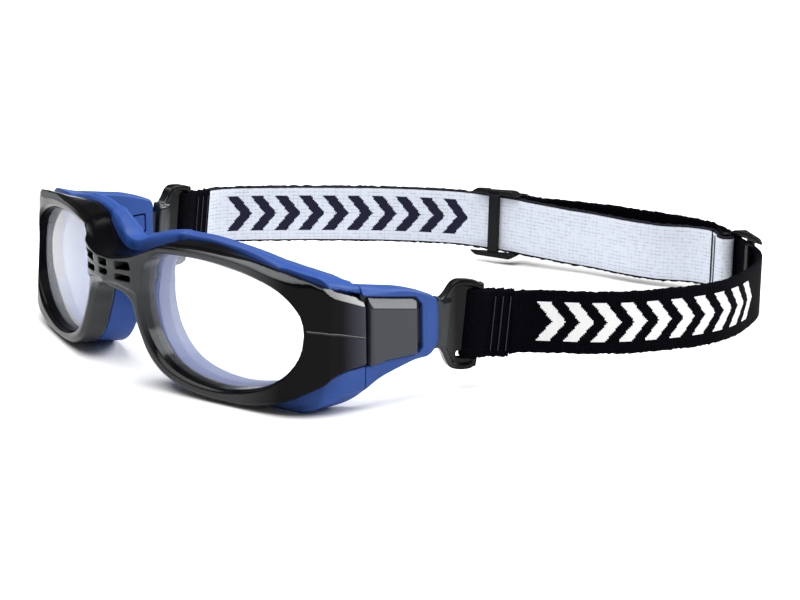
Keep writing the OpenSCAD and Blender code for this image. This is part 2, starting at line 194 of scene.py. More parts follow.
def field_mesh(field, low, high, step):
    """The zero surface of a field, with its own smooth normals."""
    low, high = np.array(low, np.float32), np.array(high, np.float32)
    n = np.ceil((high - low) / step).astype(int) + 1
    n = (np.ceil((n - 1) / COARSE) * COARSE + 1).astype(int)
    axes = [low[i] + step * np.arange(n[i], dtype=np.float32) for i in range(3)]
    pts = np.stack(np.meshgrid(*[a[::COARSE] for a in axes], indexing="ij"), -1)
    rough = field(pts.reshape(-1, 3)).reshape(pts.shape[:3])
    near = np.abs(rough) < COARSE * step * REACH
    # Every fine point of a coarse cell that has a corner near the surface
    cell = np.zeros(tuple(s - 1 for s in near.shape), bool)
    for corner in CORNERS:
        cell |= part_of(near, cell.shape, corner)
    fine = np.zeros(tuple(n), bool)
    for first in COARSE * np.argwhere(cell):
        fine[tuple(slice(f, f + COARSE + 1) for f in first)] = True
    value = np.where(rough >= 0, 1.0, -1.0).astype(np.float32)
    for axis in range(3):
        value = np.repeat(value, COARSE, axis)
    value = value[: n[0], : n[1], : n[2]].copy()
    at = np.argwhere(fine)
    for first in range(0, len(at), BLOCK):
        part = at[first : first + BLOCK]
        value[tuple(part.T)] = field(low + step * part.astype(np.float32))
    inside = value < 0
    count = sum(part_of(inside, n - 1, c).astype(np.int8) for c in CORNERS)
    active = np.argwhere((count > 0) & (count < 8))
    index = np.full(tuple(n - 1), -1, np.int32)
    index[tuple(active.T)] = np.arange(len(active))
    total, hits = np.zeros((len(active), 3)), np.zeros(len(active))
    for c in CORNERS:
        for axis in range(3):
            if c[axis]:
                continue
            d = list(c)
            d[axis] = 1
            va = value[tuple((active + c).T)]
            vb = value[tuple((active + d).T)]
            cross = (va < 0) != (vb < 0)
            t = np.where(cross, va / np.where(cross, va - vb, 1), 0)
            p = np.array(c, float) + np.zeros((len(active), 3))
            p[:, axis] = t
            total += p * cross[:, None]
            hits += cross
    verts = (low + step * (active + total / hits[:, None])).astype(np.float32)
    # One face for each grid line that crosses the surface
    faces = []
    for axis in range(3):
        u, v = (axis + 1) % 3, (axis + 2) % 3
        shift = np.eye(3, dtype=int)[axis]
        a = part_of(inside, n - shift, (0, 0, 0))
        edge = np.argwhere(a != part_of(inside, n - shift, shift))
        edge = edge[(edge[:, u] > 0) & (edge[:, v] > 0) & (edge[:, u] < n[u] - 1) & (edge[:, v] < n[v] - 1)]
        flip = a[tuple(edge.T)]
        quad = []
        for du, dv in ((1, 1), (0, 1), (0, 0), (1, 0)):
            e = edge.copy()
            e[:, u] -= du
            e[:, v] -= dv
            quad.append(index[tuple(e.T)])
        quad = np.stack(quad, 1)
        quad[~flip] = quad[~flip][:, ::-1]
        faces.append(quad)
    faces = np.concatenate(faces)
    faces = faces[(faces >= 0).all(1)]

    def slope(p, e):
        g = np.empty_like(p)
        for i in range(3):
            d = np.zeros(3, p.dtype)
            d[i] = e
            g[:, i] = (field(p + d) - field(p - d)) / (2 * e)
        return g

    # Three short moves of every point onto the surface
    for _ in range(3):
        g = slope(verts, SLOPE_SPAN)
        steep = np.maximum((g * g).sum(1), 0.2)
        move = g * (field(verts) / steep)[:, None]
        length = np.linalg.norm(move, axis=1)
        verts = verts - move * np.minimum(1, 0.4 * step / np.maximum(length, 1e-9))[:, None]
    normals = slope(verts, NORMAL_SPAN)
    normals /= np.maximum(np.linalg.norm(normals, axis=1), 1e-9)[:, None]
    return verts, faces, normals


def add_object(name, verts, faces, normals=None, mirror=False):
    """A mesh object in metres from millimetre data."""
    verts = np.asarray(verts, float).copy()
    faces = np.asarray(faces)
    if mirror:
        verts[:, 0] *= -1
        faces = faces[:, ::-1]
        if normals is not None:
            normals = normals * [-1, 1, 1]
    mesh = bpy.data.meshes.new(name)
    mesh.from_pydata((verts * MM).tolist(), [], faces.tolist())
    mesh.polygons.foreach_set("use_smooth", [True] * len(mesh.polygons))
    if normals is not None:
        mesh.normals_split_custom_set_from_vertices(np.asarray(normals, float).tolist())
    mesh.update()
    o = bpy.data.objects.new(name, mesh)
    bpy.context.scene.collection.objects.link(o)
    return o


# ---------------------------------------------------------------- shared shapes
LENS_AT = np.array([36.4, 11.0, 0.0])
WRAP, LEAN = math.radians(15.5), math.radians(5)
E1 = np.array([math.cos(WRAP), math.sin(WRAP), 0])
E2 = np.array([-math.sin(WRAP) * math.sin(LEAN), math.cos(WRAP) * math.sin(LEAN), math.cos(LEAN)])
E3 = np.cross(E1, E2)
OPENING = [
    (-26.4, 6.5), (-25.6, 11.6), (-21, 14.9), (-12, 15.6), (-2, 15.3), (9, 13.8), (18.5, 11.1), (24.6, 6.9),
    (26.2, 1.5), (25, -5), (20.8, -10.2), (13, -14.3), (2, -16.5), (-8, -16), (-16.5, -13.2), (-22.3, -7.7),
    (-25.4, -0.8),
]
OUTER = [
    (-30.6, 1.8), (-29.2, 0.2), (-27.9, -3.6), (-25.8, -7.8), (-24.1, -10.7), (-21.6, -13.6), (-18, -16.2),
    (-12, -18.6), (-5.2, -19.7), (1.4, -19.95), (8, -19.8), (13, -19.1), (18.4, -17.8), (22.3, -16.1),
    (25.8, -14.2), (30, -11.8), (32.4, -9.7), (36, -8.4), (42, -8.2), (44, 0), (42, 11.6), (36, 11.8),
    (30, 12.7), (22.7, 14.0), (16.3, 15.2), (9.8, 16.5), (3.3, 17.3), (-3, 17.7), (-9, 17.7), (-14, 17.4),
    (-19.8, 17.0), (-24.9, 16.2), (-30, 15.2), (-36, 14.4), (-42, 14), (-44, 8), (-38, 4.6), (-33, 3.2),
]
opening = Outline(catmull(OPENING, 8, True), (-46, -32), (46, 32))
outer = Outline(catmull(OUTER, 6, True), (-46, -32), (46, 32))


def at_lens(p):
    """Places across, up and out of the left lens."""
    q = p - LENS_AT.astype(p.dtype)
    return q @ E1.astype(p.dtype), q @ E2.astype(p.dtype), q @ E3.astype(p.dtype)


def half(p):
    """Left half only: the right is its mirror image."""
    q = p.copy()
    q[:, 0] = np.abs(q[:, 0])
    return q


SWEEP = [
    (43, 8.6), (48.2, 10.2), (51.1, 11.1), (54.2, 12.3), (58, 14.0), (61.6, 16.3), (64.8, 18.9), (66.6, 21.6),
    (67.3, 25),
]


def corner_field(p):
    """Distance in front of the front's sweep round into the sides, which leans with the lens."""
    line = np.array(SWEEP)
    y = p[:, 1] - 0.084 * p[:, 2] * np.clip((25 - p[:, 1]) / 12, 0, 1)
    x = np.interp(y, line[:, 1], line[:, 0])
    lead = np.where(y < line[0, 1], 200, 0)
    return (p[:, 0] - x) * 0.72 - lead


RIM_FRONT, RIM_BACK = 3.3, -3.2  # along the lens's own axis
SIDE_X = 67.3  # outer face of the end piece and the plate
FRONT_LOW, CUSHION_LOW, FLOOR_Z = -20.2, -20.35, -20.4  # flat undersides and the floor below them
CUSHION_END, SLEEVE_START = 32.74, 32.82  # y of the joint in the soft blue
# The flat facet on the upper edge of the end piece: a point on it and its normal
SIDE_FACET, SIDE_FACET_TURN = (SIDE_X, 26.0, 9.15), (0.734, 0.256, 0.628)


def end_top(y):
    """Upper edge of the end piece."""
    return np.interp(y, [14, 20.5, 24, 27.8, 33.2], [14.2, 12.9, 12.4, 11.4, 9.8])


def end_low(y):
    """Lower edge of the end piece."""
    ys, zs = [11.5, 15.5, 19.2, 21.4, 24.2, 27.2, 34], [-17.5, -14.2, -11.9, -10.6, -9.5, -8.8, -8.4]
    return np.interp(y, ys, zs)


def back_of_black(u, v):
    """Where black meets blue: level with the rim, and further back on the shelf above the lens."""
    t = np.clip((24 - u) / 26, 0, 1)
    return RIM_BACK - 1.5 * t * t * (3 - 2 * t) * np.clip((v - 5.4) / 1.6, 0, 1)


# ---------------------------------------------------------------- black front
def front_field(p):
    p = half(p)
    u, v, w = at_lens(p)
    d_in, d_out = opening(u, v), outer(u, v)
    x, y, z = p.T
    # Rim: rounded front, an upper facet that widens toward the temples, a back that steps up to the brow
    front_w = w - RIM_FRONT
    over = np.clip((v - 3) / 5, 0, 1)
    lift = np.interp(u, [-30, 0, 10, 20, 28, 32, 40], [0.5, 0.6, 1.3, 1.8, 1.8, 1.3, 0.3])
    fall = np.interp(u, [-30, -22, -8, 0, 10, 20, 30], [0, -0.16, -0.14, 0, 0.26, 0.26, 0.25])
    d_top = d_out + over * (fall * np.maximum(2 - w, 0) - lift)
    rim = every(0.6, d_top, front_w, RIM_BACK - w)
    chamfer = 0.75 + over * (0.7 * lift + 0.07 - 0.75)
    rim = smax(rim, (d_top + front_w) * 0.7071 + chamfer, 0.3)
    brow = every(0.5, d_top, back_of_black(u, v) - w, w - 1, 0.3 - d_in, 6.5 - v)
    # Bridge
    face = -2.0 + 0.017 * x * x
    top = 12.9 + 0.012 * x * x
    low = 6.3 - 0.0135 * x * x * np.clip(x / 8, 0, 1)
    bridge = every(0.9, face - y, y - 3.4 - 0.02 * x * x, z - top, low - z, x - 15)
    shelf = every(0.6, face - y, y - 7.1 - 0.012 * x * x, z - top + 0.1, 10.9 - z, x - 16)
    body = smin(smin(rim, brow, 1.0), smin(bridge, shelf, 1.0), 1.6)
    body = smax(body, (z - 12.75 - 0.018 * x * x) * 0.85, 0.9)
    # End-piece: the side wall back to the temple joint
    side = every(0.5, x - SIDE_X, y - 33.1, z - end_top(y), end_low(y) - z, 15 - y, 57 - x)
    side = smax(side, -every(1.0, x - 65.1, 23.2 - y), 0.6)
    side = smax(side, -(p @ np.array([0.5, 0.86, 0], p.dtype)) + 43.0, 0.6)
    body = smin(body, side, 1.6)
    body = smax(body, corner_field(p), 1.2)
    # Flat facet on the upper edge of the side
    body = smax(body, plane(p, SIDE_FACET, SIDE_FACET_TURN), 0.2)
    # Opening, flared at the front
    body = smax(body, -d_in, 0.2)
    body = smax(body, (0.9 - d_in + front_w * 0.8) * 0.78, 0.25)
    # Vent slots through the bridge
    for x0, x1, z0, z1, tilt in ((4.9, 10.0, 10.1, 12.2, 0.06), (4.7, 9.9, 7.3, 8.8, -0.02)):
        slot = box(np.stack([x, y, z - (x - 5) * tilt], 1), (x0, -9, z0), (x1, 2.6, z1), 0.5)
        body = smax(body, -slot, 0.3)
    for z0, z1 in ((10.2, 12.0), (7.9, 9.3)):
        slot = box(p, (-1.9, -9, z0), (1.9, 2.6, z1), 0.5)
        body = smax(body, -slot, 0.3)
    return np.maximum(body, FRONT_LOW - z)


def side_line(low, high, out):
    """A thin band laid on the end piece, from the rim's wall to the joint, found by searching inward in x. The
    bands carry painted shade for the groove and a painted highlight along its edge.
    """
    y = np.linspace(17.35, 33.05, 60)
    z = np.interp(y, [14, 16.2, 19.6, 24.4, 33.2], [2.7, 2.57, 2.3, 1.3, -1.35])
    stride = 0.25
    rows = []
    for shift in (low, high):

        def front(x):
            return front_field(np.stack([x, y, z + shift], 1).astype(np.float32))

        near = np.full(len(y), 69.0)
        for _ in range(60):
            near = np.where(front(near) > 0, near - stride, near)
        far = near + stride
        for _ in range(12):
            mid = (near + far) / 2
            inside = front(mid) < 0
            near, far = np.where(inside, mid, near), np.where(inside, far, mid)
        rows.append(np.stack([near + out, y - 0.4 * out, z + shift], 1))
    verts = np.concatenate(rows)
    n = len(y)
    return verts, [[i, i + 1, n + i + 1, n + i] for i in range(n - 1)]


# ---------------------------------------------------------------- lenses
def lens_field(p):
    u, v, w = at_lens(p)
    bulge = 0.9 - (u * u + v * v) / 420
    return every(0.3, opening(u, v) - 1.1, w - bulge, bulge - 1.9 - w)


# ---------------------------------------------------------------- soft blue cushion
BLUE_SIDE = [
    (8, 20.6), (14, 18.4), (19, 16.4), (24, 14.6), (27, 13.5), (30.1, 12.5), (33, 11.9), (39.6, 10.5),
    (46, 9.1), (52.5, 6.9), (55.7, 5.2), (57.3, 3.0), (57.5, -5.6), (56.6, -8.1), (53.8, -10.1), (49, -10.4),
    (44, -11.4), (39, -12.6), (35.6, -14.0), (33.2, -15.9), (31, -18.0), (28, -19.8), (22, -20.6), (8, -20.8),
]
BLUE_EDGE = [
    (46, 12.0), (54, 14.0), (58, 15.9), (61.6, 18.2), (64.4, 20.8), (66.0, 24), (66.75, 29), (66.75, 40),
    (66.75, 50),
]
BLUE_INNER = [
    (66.75, 53.0), (65.6, 57.6), (60.9, 53.9), (60.9, 34), (59.4, 31), (56.6, 26.6), (52, 21.8), (46, 17),
]
BLUE_FRONT = [
    (44, -20.8), (53, -20.7), (58, -20.3), (62, -18.7), (65, -16), (66.75, -12.4), (66.75, 0), (66.75, 7.6),
    (66.2, 9.4), (65.2, 10.6), (64.6, 12), (63, 14.4), (58, 17.2), (44, 20.8),
]
blue_side = Outline(catmull(BLUE_SIDE, 4, True), (0, -28), (66, 28))
blue_plan = Outline(np.array([*catmull(BLUE_EDGE, 4, False), *BLUE_INNER]), (30, 0), (75, 66))
blue_front = Outline(catmull(BLUE_FRONT, 4, True), (30, -28), (75, 28))


def blue_field(p):
    """Outside shape of the soft blue side, cushion wing and temple sleeve in one."""
    x, y, z = p.T
    return every(1.1, blue_side(y, z), blue_plan(x, y), blue_front(x, z))


GAP = 0.12  # left between the cushion and the black front


def cushion_field(p):
    q = half(p)
    u, v, w = at_lens(q)
    x, y, z = q.T
    d_in, d_out = opening(u, v), outer(u, v)
    rear = np.clip((RIM_BACK - w) / 8, 0, 1)
    front_side = w - back_of_black(u, v) + GAP
    wall = np.maximum(d_in - 3.0, d_out + 0.1) - 0.25 * rear
    cup = every(0.7, wall, 0.3 - 0.5 * rear - d_in, front_side, -11.4 - w)
    # Brow band standing behind the black shelf, proud of it beside the bridge
    us, rises = [-34, -25, -20, -10, -3, 3, 10, 20, 30], [2.0, 3.0, 3.1, 2.5, 1.9, 1.5, 1.0, 0.7, 0.3]
    crest = np.maximum(d_in - 7.5, d_out - np.interp(u, us, rises))
    back = np.interp(u, [0, 12, 24], [8.6, 9.6, 13.9])
    band = every(1.3, crest, 0.3 - d_in, front_side, -back - w, 5.6 - v)
    ridge = every(0.4, crest - 0.3, 1.2 - d_in, 0.9 - back - w, w + back - 2.4, 8.5 - v)
    # Link between the two halves, behind the bridge
    arch = np.abs(y - 10.1 - 0.012 * x * x) - 2.7
    link = every(0.9, arch, z - 15.4 - 0.012 * x * x, 9.2 - z, x - 15, front_side)
    body = smin(smin(cup, smin(band, ridge, 0.5), 0.8), link, 2.4)
    body = smin(body, smax(blue_field(q), front_side, 0.4), 1.2)
    # Room for the side of the front, with the blue lying on its upper facet
    over = end_low(y) - GAP - z
    facet = plane(q, SIDE_FACET, SIDE_FACET_TURN) - GAP
    room = every(0.1, over, z - end_top(y) - 0.1, facet, 62.2 - x, 14 - y, 0.45 * (62.4 - x) + 21.5 - y)
    body = np.maximum(body, -np.minimum(room, every(0.1, over, 64.9 - x, 18 - y)))
    body = np.maximum(body, GAP - d_in - 0.5 * rear)
    return np.maximum(np.maximum(body, y - CUSHION_END), CUSHION_LOW - z)


# ---------------------------------------------------------------- temples
PLATE = [(34.3, 9.1), (49.1, 6.3), (50.4, 3.9), (50.4, -7.2), (49.3, -8.5), (39, -8.3), (34.0, -9.0)]
POCKET = [(30, 10.0), (49.3, 6.45), (51.3, 4.2), (51.3, -7.4), (49.9, -8.7), (39, -8.5), (30, -9.3)]
plate_outline = Outline(np.array(PLATE, float), (24, -20), (60, 20))
pocket_outline = Outline(np.array(POCKET, float), (24, -20), (60, 20))


def tab_slot(p, grow):
    """The catch tab, and grown, the window it stands in."""
    return box(p, (59, 45.1, -2.3 - grow), (62.4 + 1.5 * grow, 51.3 + grow, 2.3 + grow), 0.5)


# The clip's axes at the end of the temple, and its head's axes from there: place and turns in degrees
CLIP_AT, CLIP_LEAN = (64, 57, -1.9), -6
HEAD_AT, HEAD_LEAN, HEAD_TURN = (0, 1.2, -0.6), -1.5, -15


def tongue(p, grow):
    """The flat end of the clip, and grown, the socket it slides in."""
    q = turn(p, CLIP_AT, ("x", CLIP_LEAN))
    return box(q, (-0.75 - grow, -13 - grow, -3.5 - grow), (0.75 + grow, 1.5 + 8 * grow, 3.5 + grow), 0.3)


def sleeve_field(p):
    x, y, z = p.T
    body = np.maximum(blue_field(p), SLEEVE_START - y)
    body = smax(body, -every(0.2, pocket_outline(y, z), 65.0 - x), 0.2)
    return np.maximum(np.maximum(body, -tab_slot(p, 0.45)), -tongue(p, 0.3))


def tab_field(p):
    body = np.maximum(np.maximum(tab_slot(p, 0), 45.3 - p[:, 1]), 60.93 - p[:, 0])
    return smax(body, p[:, 0] - 62.0, 0.2)


def plate_field(p):
    x, y, z = p.T
    body = every(0.3, plate_outline(y, z), x - SIDE_X, 65.4 - x)
    body = smax(body, plane(p, (SIDE_X, 35.1, 6.05), (0.85, 0.10, 0.52)), 0.15)
    body = smax(body, plane(p, (SIDE_X, 48.9, 0), (0.62, 0.78, 0)), 0.2)
    return smax(body, plane(p, (SIDE_X, 34.6, 0), (0.6, -0.8, 0)), 0.5)


def boot_field(p):
    """The floor of the pocket round the plate, near black: a floor piece whose colour is also painted shade
    for the gap.
    """
    x, y, z = p.T
    body = every(0.2, x - 65.35, 64.0 - x, 32.3 - y, pocket_outline(y, z) - 0.3)
    return np.maximum(body, -tongue(p, 0.3))


# ---------------------------------------------------------------- strap clips
HEAD = [
    (-1.6, 5.9), (-0.2, 6.5), (1.2, 8.2), (2.3, 10.1), (3.6, 11.2), (5.4, 11.5), (8.8, 11.3), (10.8, 10.6),
    (11.7, 8.9), (11.7, -9.3), (10.8, -11.5), (8.8, -12.2), (6.2, -12.2), (4.2, -11.6), (2.9, -10.0),
    (1.7, -7.9), (0.2, -6.4), (-1.6, -5.9),
]
head_outline = Outline(catmull(HEAD, 6, True), (-8, -18), (18, 18))


def clip_field(p):
    q = turn(p, CLIP_AT, ("x", CLIP_LEAN))
    h = turn(q, HEAD_AT, ("x", HEAD_LEAN), ("z", HEAD_TURN))
    x, y, z = h.T
    d = head_outline(y, z)
    head = every(0.6, d, np.abs(x) - 1.55)
    taper = np.abs(x + 0.1) - 2.35 + 0.25 * np.clip(y, 0, 5)
    neck = every(0.8, np.abs(z) - 5.9, taper, y - 5.4, -(y + 0.9 - 0.75 * x) * 0.8)
    head = smin(head, neck, 1.2)
    hollow = every(0.5, d + 1.5, 1.1 - np.abs(x), 2.6 - y)
    head = smax(head, -hollow, 0.4)
    # Slot for the webbing, with the short leg at its lower end
    slot = box(h, (-6, 7.15, -8.95), (6, 8.3, 8.95), 0.5)
    leg = box(h, (-6, 5.6, -8.95), (6, 8.3, -7.3), 0.5)
    head = smax(head, -np.minimum(slot, leg), 0.4)
    thin = every(0.2, 8.0 - y, 0.8 - np.abs(x), np.abs(z) - 9.1)
    head = smax(head, -thin, 0.3)
    return smin(tongue(p, 0), head, 0.4)


# ---------------------------------------------------------------- strap
# The loop lies in its own plane, which slopes down toward the back from a point between the clips
SLOPE_DEG = 2.9
SLOPE = math.radians(SLOPE_DEG)
PLANE_Y, PLANE_Z = 71, -4.6
OUTER_ROUTE = [
    (70.1, 77.4), (70.7, 79.3), (72.4, 83.2), (76.6, 88.4), (82, 95.2), (86.4, 103.4), (89.2, 112.4),
    (91, 122), (91, 132), (88.6, 141), (84.4, 149.5), (78.6, 158.6), (70.8, 166), (61, 170.5), (51, 174.6),
    (41.5, 176.2), (31, 174), (17.5, 168.6), (2, 162.4), (-7.2, 158), (-8.8, 157.3),
]
INNER_ROUTE = [
    (-70.1, 77.4), (-70.7, 79.3), (-71, 83.4), (-69.2, 89.5), (-64, 99.6), (-56.6, 112.4), (-45.4, 129),
    (-32, 143), (-20.5, 148.5), (-10, 152.4), (-2, 156.2), (9, 160.6), (20, 163.2), (30, 167.2), (38, 171.8),
    (45.2, 172.8), (46.8, 172.1),
]
# Height above the plane by x, behind LAP_Y, where two layers show one above the other
OUTER_LIFT = [(-12, 0), (0, 0.5), (12, 0.8), (40, 0.8), (56, 0), (90, 0)]
INNER_LIFT = [(-14, 0), (2, -0.9), (30, -0.9), (44, 0)]
LAP_Y = 145
# Place in the plane and turn in degrees, and the box each is sampled in
SLIDERS = {"left": ((61, 170.5), 156.5), "right": ((-20.5, 148.5), 23.0)}
SLIDER_BOX = {"left": ((48, 162, -23), (73, 180, 3)), "right": ((-33, 139, -22), (-8, 158, 4))}
END_BAR = (7.0, -3.2)  # the slider's bar that its fold goes round


def strap_world(q):
    """From the flat plane of the loop to the part's frame."""
    q = np.asarray(q, float)
    c, s = math.cos(SLOPE), math.sin(SLOPE)
    y, z = q[:, 1] - PLANE_Y, q[:, 2]
    return np.stack([q[:, 0], PLANE_Y + y * c + z * s, PLANE_Z - y * s + z * c], 1)


def slider_local(p, side):
    """From the part's frame to the slider's own axes."""
    at, deg = SLIDERS[side]
    q = turn(p, (0, PLANE_Y, PLANE_Z), ("x", -SLOPE_DEG)) + np.array([0, PLANE_Y, 0], p.dtype)
    q = turn(q, (*at, 0), ("z", deg))
    return q * np.array([1, -1, 1], p.dtype)


def slider_world(q, side):
    """From the slider's own axes to the part's frame."""
    at, deg = SLIDERS[side]
    a = math.radians(deg)
    q = np.asarray(q, float) * [1, -1, 1]
    x = at[0] + q[:, 0] * math.cos(a) - q[:, 1] * math.sin(a)
    y = at[1] + q[:, 0] * math.sin(a) + q[:, 1] * math.cos(a)
    return strap_world(np.stack([x, y, q[:, 2]], 1))


def slider_field(side):
    """Two rails joined by three bars, one of them for the fold."""

    def field(p):
        q = slider_local(p, side)
        x, y, z = q.T
        az = np.abs(z)
        rail = every(0.5, az - 10.2, 8.7 - az, y - 2.4, -4.0 - y, np.abs(x) - 8.2)
        rail = smax(rail, (np.abs(x) * 0.55 + az * 0.83) - 11.55, 0.4)
        rail = smax(rail, -plane(q, (8.2, -2.4, 0), (0.35, 1, 0)) - 1.2 * (x < -2), 0.4)
        middle = every(0.45, np.abs(x) - 1.7, y - 2.4, 1.0 - y, az - 9)
        near = every(0.4, np.abs(x + 7.0) - 1.2, -1.0 - y - 1.4, y + 1.0, az - 9)
        fold_bar = every(0.3, np.abs(x - END_BAR[0]) - 1.2, np.abs(y - END_BAR[1]) - 0.8, az - 9)
        return smin(smin(rail, middle, 0.5), smin(near, fold_bar, 0.1), 0.3)

    return field


# Places across a ribbon, from edge to edge, with the share of the half thickness there
ACROSS = np.array([-1, -0.965, -0.93, -0.6, -0.2, 0.2, 0.6, 0.93, 0.965, 1.0])
SHARE = np.array([0.35, 0.8, 1, 1, 1, 1, 1, 1, 0.8, 0.35])
# Material slots, and the slot of each strip round a section
FACE, BACK, EDGE = 0, 1, 2
STRIP_SLOTS = [FACE] * 9 + [EDGE] + [BACK] * 9 + [EDGE]
UV_SCALE = 100  # mm of webbing to one unit of the weave map
TAPE_HALF, TAPE_THICK, FOLD_THICK = 8.4, 1.25, 1.3
CLIP_FOLD_HALF = 8.95  # the fold fills the clip's slot


def ribbon(name, route, half_w, thick, step, ragged, seed):
    """Flat webbing along a line, with slightly ragged edges. route is points and the width direction."""
    line, across = route
    length = np.concatenate([[0], np.cumsum(np.linalg.norm(np.diff(line, axis=0), axis=1))])
    n = int(length[-1] / step) + 1
    s = np.linspace(0, length[-1], n)
    at = np.stack([np.interp(s, length, line[:, i]) for i in range(3)], 1)
    side = np.stack([np.interp(s, length, across[:, i]) for i in range(3)], 1)
    side /= np.linalg.norm(side, axis=1)[:, None]
    along = np.gradient(at, axis=0)
    along /= np.linalg.norm(along, axis=1)[:, None]
    out = np.cross(along, side)
    out /= np.linalg.norm(out, axis=1)[:, None]
    rng = np.random.default_rng(seed)
    edge = rng.normal(0, ragged, (n, 2))
    bulge = SHARE * thick / 2
    last = len(ACROSS) - 1
    rows = []
    for face, order in ((1, range(last + 1)), (-1, range(last, -1, -1))):
        for i in order:
            w = np.full(n, ACROSS[i] * half_w)
            if i == 0:
                w = w - edge[:, 0]
            if i == last:
                w = w + edge[:, 1]
            rows.append(at + side * w[:, None] + out * face * bulge[i])
    rings = np.stack(rows, 1)
    m = rings.shape[1]
    verts = rings.reshape(-1, 3)
    i, j = np.meshgrid(np.arange(n - 1), np.arange(m), indexing="ij")
    k = (j + 1) % m
    quads = np.stack([i * m + j, i * m + k, (i + 1) * m + k, (i + 1) * m + j], -1).reshape(-1, 4)
    faces = quads.tolist() + [list(range(m))[::-1], [(n - 1) * m + q for q in range(m)]]
    mesh = bpy.data.meshes.new(name)
    mesh.from_pydata((verts * MM).tolist(), [], faces)
    mesh.polygons.foreach_set("use_smooth", [True] * len(quads) + [False, False])
    layer = mesh.uv_layers.new(name="weave")
    s_vert = np.repeat(s, m)
    t_vert = np.tile(np.concatenate([ACROSS, ACROSS[::-1]]), n)
    loops = np.zeros(len(mesh.loops), int)
    mesh.loops.foreach_get("vertex_index", loops)
    data = np.stack([s_vert[loops] / UV_SCALE, t_vert[loops] * half_w / UV_SCALE], 1)
    layer.data.foreach_set("uv", data.astype(np.float32).ravel())
    slots = np.concatenate([np.tile(STRIP_SLOTS, n - 1), [EDGE, EDGE]])
    mesh.polygons.foreach_set("material_index", slots.astype(np.int32))
    mesh.update()
    o = bpy.data.objects.new(name, mesh)
    bpy.context.scene.collection.objects.link(o)
    return o


def loop_route(points, lift):
    """Line of a strap with its width direction."""
    flat = catmull(points, 6, False)
    xs, zs = zip(*lift)
    line = strap_world(np.column_stack([flat, np.interp(flat[:, 0], xs, zs) * (flat[:, 1] > LAP_Y)]))
    up = np.tile([0, math.sin(SLOPE), math.cos(SLOPE)], (len(line), 1))
    return line, up


def fold_route(bar_half, tail, place):
    """Once round a bar and back, in a flat local plane, placed in the part's frame."""
    bar, clear, half_tape = 0.8, 0.15, 0.65
    sewn = half_tape + 0.01
    r = bar + clear + half_tape
    pts = [(sewn, bar_half + tail), (sewn, bar_half + 2.7), (r, bar_half - 0.2)]
    centre = 0.95 - clear - bar_half
    pts += [(r * math.cos(a), centre + r * math.sin(a)) for a in np.radians(np.arange(0, -181, -20))]
    pts += [(-r, bar_half - 0.2), (-sewn, bar_half + 2.7), (-sewn, bar_half + tail)]
    flat = catmull(pts, 4, False)
    line = place(np.column_stack([flat, np.zeros(len(flat))]))
    top = place(np.column_stack([flat, np.ones(len(flat))]))
    return line, top - line


def clip_place(q):
    """From the clip's local axes, measured from its bar, to the part's frame."""
    q = np.asarray(q, float) + [0, 9.9, 0]

    def rot(v, axis, deg):
        a = math.radians(deg)
        c, s = math.cos(a), math.sin(a)
        i, j = {"x": (1, 2), "z": (0, 1)}[axis]
        w = v.copy()
        w[:, i], w[:, j] = c * v[:, i] - s * v[:, j], s * v[:, i] + c * v[:, j]
        return w

    q = rot(rot(q, "x", HEAD_LEAN), "z", HEAD_TURN) + HEAD_AT
    return rot(q, "x", CLIP_LEAN) + CLIP_AT


def slider_bar_place(side):
    """From the fold's local axes to the part's frame: its y runs along the slider's x, its x across."""

    def place(q):
        return slider_world(np.column_stack([END_BAR[0] + q[:, 1], END_BAR[1] - q[:, 0], q[:, 2]]), side)

    return place


# ---------------------------------------------------------------- materials
class Nodes:
    """Short way to wire a material's nodes."""

    def __init__(self, name, rough, color, **values):
        self.m = bpy.data.materials.new(name)
        self.m.use_nodes = True
        self.t = self.m.node_tree
        self.b = self.t.nodes["Principled BSDF"]
        self.b.inputs["Base Color"].default_value = (*color, 1)
        self.b.inputs["Roughness"].default_value = rough
        for k, v in values.items():
            self.b.inputs[k.replace("_", " ")].default_value = v

    def add(self, kind, *links, **values):
        """A node with its own settings, and its first inputs linked or set."""
        n = self.t.nodes.new("ShaderNode" + kind)
        for k, v in values.items():
            setattr(n, k, v)
        for i, link in enumerate(links):
            if isinstance(link, (int, float)):
                n.inputs[i].default_value = link
            else:
                self.t.links.new(link, n.inputs[i])
        return n

    def math(self, op, *links):
        return self.add("Math", *links, operation=op).outputs[0]

    def mix(self, fac, a, b):
        """One colour into another. Each is a tuple or a socket."""
        n = self.add("Mix", fac, data_type="RGBA")
        for i, c in ((6, a), (7, b)):
            if isinstance(c, tuple):
                n.inputs[i].default_value = (*c, 1)
            else:
                self.t.links.new(c, n.inputs[i])
        return n.outputs[2]

    def noise(self, scale, detail):
        n = self.add("TexNoise", self.place())
        n.inputs["Scale"].default_value = scale
        n.inputs["Detail"].default_value = detail
        return n.outputs["Fac"]

    def place(self):
        return self.add("TexCoord").outputs["Object"]

    def split(self, vector):
        return self.add("SeparateXYZ", vector).outputs

    def ramp(self, value, low, high, a=0.0, b=1.0):
        """From a to b while the value goes from low to high, and held beyond."""
        return self.add("MapRange", value, low, high, a, b).outputs[0]

    def bump(self, height, strength, distance):
        n = self.add("Bump")
        n.inputs["Strength"].default_value = strength
        n.inputs["Distance"].default_value = distance
        self.t.links.new(height, n.inputs["Height"])
        self.t.links.new(n.outputs[0], self.b.inputs["Normal"])

    def link(self, value, socket):
        self.t.links.new(value, self.b.inputs[socket])


def gloss_material(name, color, rough, level=0.3):
    n = Nodes(name, rough, color, Specular_IOR_Level=level)
    n.link(n.ramp(n.noise(900, 3), 0.35, 0.75, rough - 0.03, rough + 0.03), "Roughness")
    n.bump(n.noise(2600, 2), 0.05, 0.00002)
    return n.m


